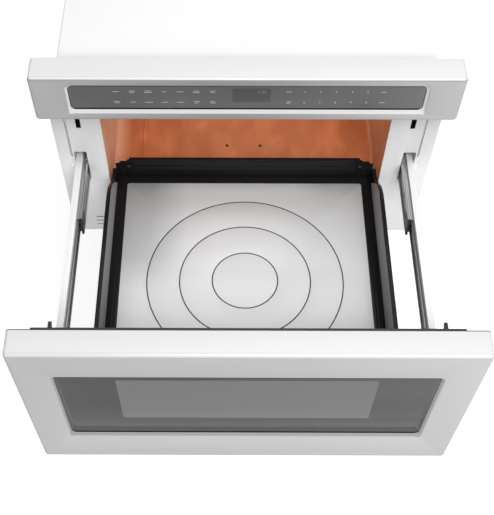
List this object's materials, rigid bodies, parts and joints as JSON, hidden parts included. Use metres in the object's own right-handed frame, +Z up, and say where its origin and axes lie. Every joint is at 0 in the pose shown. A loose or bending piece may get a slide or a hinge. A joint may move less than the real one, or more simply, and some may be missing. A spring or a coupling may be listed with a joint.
{
  "type": "built-in microwave drawer oven",
  "caption": "Built-in microwave drawer oven, drawn out: glass-fronted drawer with black pan and glass plate on ball-bearing slides, control panel above, boxed chassis behind.",
  "frame": {"origin": "on the centre line, in the plane of the base plate's underside and in the plane behind the control panel", "axes": "+X to the right seen from the front, +Y into the cabinet, +Z up; the drawer is stored drawn out towards -Y"},
  "size_m": [0.606, 0.9865, 0.4081],
  "materials": {
    "chassis_steel": "zinc-plated sheet, satin",
    "cover_enamel": "white powder coat, satin",
    "front_enamel": "light grey enamel, semi-gloss",
    "cavity_enamel": "warm enamel, satin",
    "front_steel": "fine brushed stainless steel",
    "smoked_glass": "grey tinted glass, gloss",
    "tray_glass": "white glass ceramic, gloss",
    "circuit_board": "solder mask",
    "mica": "pressed mica sheet",
    "stirrer_alu": "mill finish",
    "iron_core": "varnished laminations",
    "motor_steel": "zinc-plated",
    "capacitor_can": "satin",
    "black_plastic": "moulded, fine grain",
    "grey_plastic": "moulded, fine grain",
    "red_plastic": "moulded",
    "ceramic": "glazed",
    "bush_rubber": "moulded",
    "slide_steel": "zinc-plated, roll-formed",
    "slide_dark": "zinc-plated, in shade",
    "cage_steel": "yellow zinc-plated",
    "arm_steel": "bright zinc-plated angle",
    "choke_steel": "bright",
    "screen_enamel": "grey enamel",
    "pan_enamel": "black enamel, gloss",
    "acetal": "moulded, waxy",
    "screw_steel": "bright zinc"
  },
  "bodies": {
    "chassis": {"base_plate": "chassis_steel", "outer_cover": "cover_enamel", "rear_cover": "cover_enamel", "front_plate": "front_enamel", "oven_cavity": "cavity_enamel", "control_frame": "front_steel", "control_glass": "smoked_glass", "control_board": "circuit_board", "power_board": "circuit_board", "stirrer_cover": "mica", "stirrer_motor": "motor_steel", "waveguide": "chassis_steel", "magnetron": "motor_steel", "hv_transformer": "iron_core", "hv_capacitor": "capacitor_can", "hv_diode": "black_plastic", "fan_motor": "motor_steel", "fan_duct": "grey_plastic", "oven_lamp": "chassis_steel", "noise_filter": "circuit_board", "thermal_cutout": "ceramic", "cord_bush": "bush_rubber", "rail_outer_left": "slide_steel", "rail_outer_right": "slide_steel", "rail_supports": "chassis_steel", "drive_motor": "motor_steel", "motor_bracket": "chassis_steel", "latch_housings": "black_plastic", "interlock_switches": "grey_plastic", "chassis_screws": "screw_steel"},
    "stirrer": {"stirrer_blade": "stirrer_alu"},
    "fan": {"fan_blade": "black_plastic"},
    "pinion": {"drive_pinion": "acetal"},
    "plunger_left": {"switch_plunger_left": "red_plastic"},
    "plunger_right": {"switch_plunger_right": "red_plastic"},
    "middle_left": {"rail_middle_left": "slide_steel", "slide_stop_left": "black_plastic"},
    "middle_right": {"rail_middle_right": "slide_steel", "slide_stop_right": "black_plastic"},
    "outer_balls_left": {"cage_outer_left": "cage_steel"},
    "outer_balls_right": {"cage_outer_right": "cage_steel"},
    "inner_balls_left": {"cage_inner_left": "cage_steel"},
    "inner_balls_right": {"cage_inner_right": "cage_steel"},
    "drawer": {"door_frame": "front_steel", "door_glass": "smoked_glass", "door_screen": "screen_enamel", "choke_frame": "choke_steel", "choke_cover": "black_plastic", "drawer_arm_left": "arm_steel", "drawer_arm_right": "arm_steel", "rail_inner_left": "slide_dark", "rail_inner_right": "slide_dark", "pan_base": "pan_enamel", "pan_rear": "pan_enamel", "pan_side_left": "pan_enamel", "pan_side_right": "pan_enamel", "glass_plate": "tray_glass", "drive_rack": "acetal", "interlock_fingers": "black_plastic", "pan_screws": "screw_steel"}
  },
  "joints": [
    {"name": "drawer_slide", "type": "slide", "parent": "chassis", "child": "drawer", "axis": [0, 1, 0], "range_m": [0, 0.382]},
    {"name": "outer_balls_left_slide", "type": "slide", "parent": "chassis", "child": "outer_balls_left", "axis": [0, 1, 0], "range_m": [0, 0.0957]},
    {"name": "middle_left_slide", "type": "slide", "parent": "chassis", "child": "middle_left", "axis": [0, 1, 0], "range_m": [0, 0.1912]},
    {"name": "inner_balls_left_slide", "type": "slide", "parent": "chassis", "child": "inner_balls_left", "axis": [0, 1, 0], "range_m": [0, 0.2867]},
    {"name": "outer_balls_right_slide", "type": "slide", "parent": "chassis", "child": "outer_balls_right", "axis": [0, 1, 0], "range_m": [0, 0.0957]},
    {"name": "middle_right_slide", "type": "slide", "parent": "chassis", "child": "middle_right", "axis": [0, 1, 0], "range_m": [0, 0.1912]},
    {"name": "inner_balls_right_slide", "type": "slide", "parent": "chassis", "child": "inner_balls_right", "axis": [0, 1, 0], "range_m": [0, 0.2867]},
    {"name": "pinion_spin", "type": "hinge", "parent": "chassis", "child": "pinion", "pos_m": [0, 0.045, 0.03], "axis": [1, 0, 0], "continuous": true},
    {"name": "stirrer_spin", "type": "hinge", "parent": "chassis", "child": "stirrer", "pos_m": [0, 0.21, 0.3], "axis": [0, 0, 1], "continuous": true},
    {"name": "fan_spin", "type": "hinge", "parent": "chassis", "child": "fan", "pos_m": [-0.12, 0.4875, 0.262], "axis": [1, 0, 0], "continuous": true},
    {"name": "plunger_left_press", "type": "slide", "parent": "chassis", "child": "plunger_left", "axis": [0, 0, 1], "range_m": [0, 0.0015], "stiffness_N_per_m": 20, "springref_m": -0.0005},
    {"name": "plunger_right_press", "type": "slide", "parent": "chassis", "child": "plunger_right", "axis": [0, 0, 1], "range_m": [0, 0.0015], "stiffness_N_per_m": 20, "springref_m": -0.0005}
  ],
  "couplings": [
    {"joint": "outer_balls_left_slide", "follows": "drawer_slide", "ratio": 0.25},
    {"joint": "middle_left_slide", "follows": "drawer_slide", "ratio": 0.5},
    {"joint": "inner_balls_left_slide", "follows": "drawer_slide", "ratio": 0.75},
    {"joint": "outer_balls_right_slide", "follows": "drawer_slide", "ratio": 0.25},
    {"joint": "middle_right_slide", "follows": "drawer_slide", "ratio": 0.5},
    {"joint": "inner_balls_right_slide", "follows": "drawer_slide", "ratio": 0.75},
    {"joint": "pinion_spin", "follows": "drawer_slide", "rad_per_m": -55.556}
  ]
}
